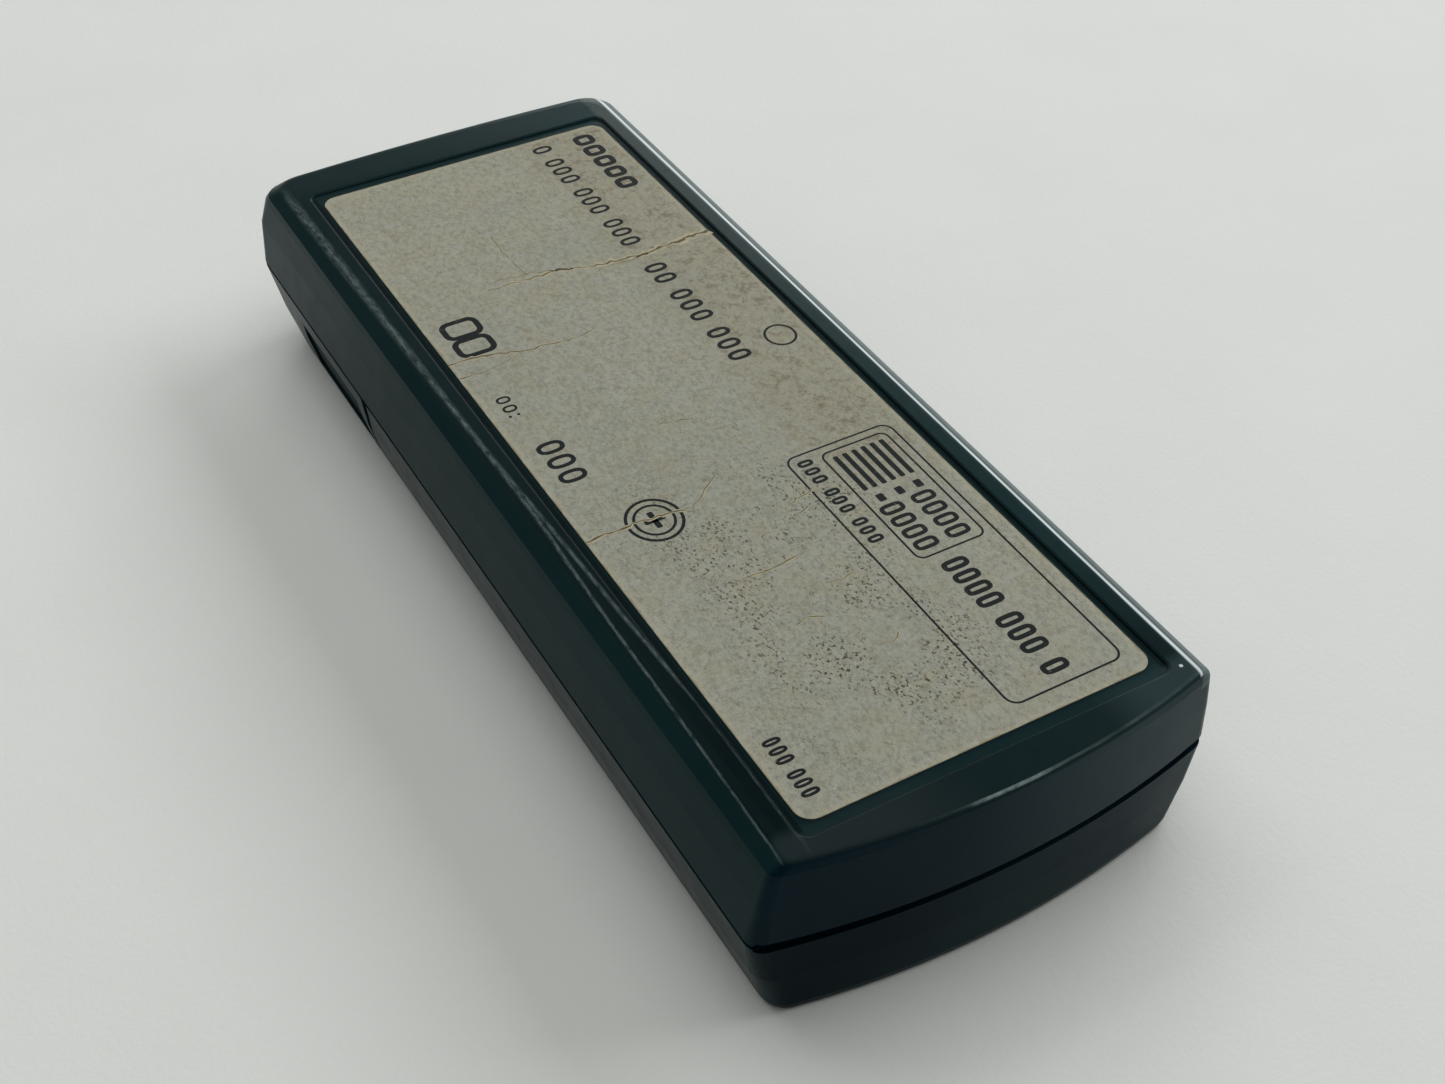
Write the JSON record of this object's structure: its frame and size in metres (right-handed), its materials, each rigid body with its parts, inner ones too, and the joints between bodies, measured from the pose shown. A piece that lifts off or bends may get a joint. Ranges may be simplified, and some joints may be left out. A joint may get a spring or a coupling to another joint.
{
  "type": "pager",
  "caption": "Flat handheld pager lying on its front face: two-part bow-ended case, labelled back, sliding battery door, call and acknowledge keys, power slider.",
  "frame": {"origin": "middle of the front face's outline, on the plane the part lies on", "axes": "+Z out of the labelled back, +Y along the length towards the battery end, +X across"},
  "size_m": [0.0566, 0.1439, 0.0246],
  "materials": {
    "case_back": "satin petrol-black moulding",
    "case_front": "satin petrol-black moulding",
    "label_paper": "aged cream-grey paper",
    "foam": "matt foam",
    "key_plastic": "matt dark grey",
    "black_plastic": "matt black",
    "red_lens": "clear red",
    "board_green": "solder-mask green",
    "steel": "plain plated",
    "ferrite": "dark grey ferrite",
    "copper": "enamelled copper wire",
    "nylon": "natural nylon",
    "cap_sleeve": "dark blue sleeve",
    "ceramic_black": "matt",
    "cell_wrap": "plain grey wrap"
  },
  "bodies": {
    "case": {"rear_cover": "case_back", "front_cover": "case_front", "rating_label": "label_paper", "call_switch": "black_plastic", "ack_switch": "black_plastic", "power_switch": "steel", "led_lens": "red_lens", "led": "red_lens", "circuit_board": "board_green", "case_screws": "steel", "board_screws": "steel", "sounder_gasket": "foam", "sounder": "black_plastic", "sounder_pins": "steel", "ferrite_rod": "ferrite", "aerial_coil": "copper", "aerial_clips": "nylon", "crystal": "steel", "receiver_chip": "black_plastic", "decoder_chip": "black_plastic", "filter_cans": "steel", "trimmer": "nylon", "capacitors": "cap_sleeve", "chip_resistors": "ceramic_black", "vibrator_motor": "steel", "motor_strap": "black_plastic", "battery_cells": "cell_wrap", "battery_contacts": "steel", "battery_springs": "steel"},
    "battery_door": {"battery_door": "case_front", "door_pad": "foam"},
    "call_key": {"call_key": "key_plastic", "call_plunger": "black_plastic"},
    "ack_key": {"ack_key": "key_plastic", "ack_plunger": "black_plastic"},
    "power_slider": {"power_knob": "key_plastic"},
    "vibrator": {"vibrator_weight": "steel", "motor_shaft": "steel"}
  },
  "joints": [
    {"name": "door_slide", "type": "slide", "parent": "case", "child": "battery_door", "axis": [0, 1, 0], "range_m": [0, 0.037]},
    {"name": "call_press", "type": "slide", "parent": "case", "child": "call_key", "axis": [0, 0, 1], "range_m": [0, 0.0006], "stiffness_N_per_m": 2500, "springref_m": -0.0001},
    {"name": "ack_press", "type": "slide", "parent": "case", "child": "ack_key", "axis": [0, 0, 1], "range_m": [0, 0.0006], "stiffness_N_per_m": 2000, "springref_m": -0.0001},
    {"name": "power_slide", "type": "slide", "parent": "case", "child": "power_slider", "axis": [0, 1, 0], "range_m": [0, 0.003]},
    {"name": "vibrator_spin", "type": "hinge", "parent": "case", "child": "vibrator", "pos_m": [0.0155, 0.05725, 0.0195], "axis": [0, 1, 0], "continuous": true}
  ]
}
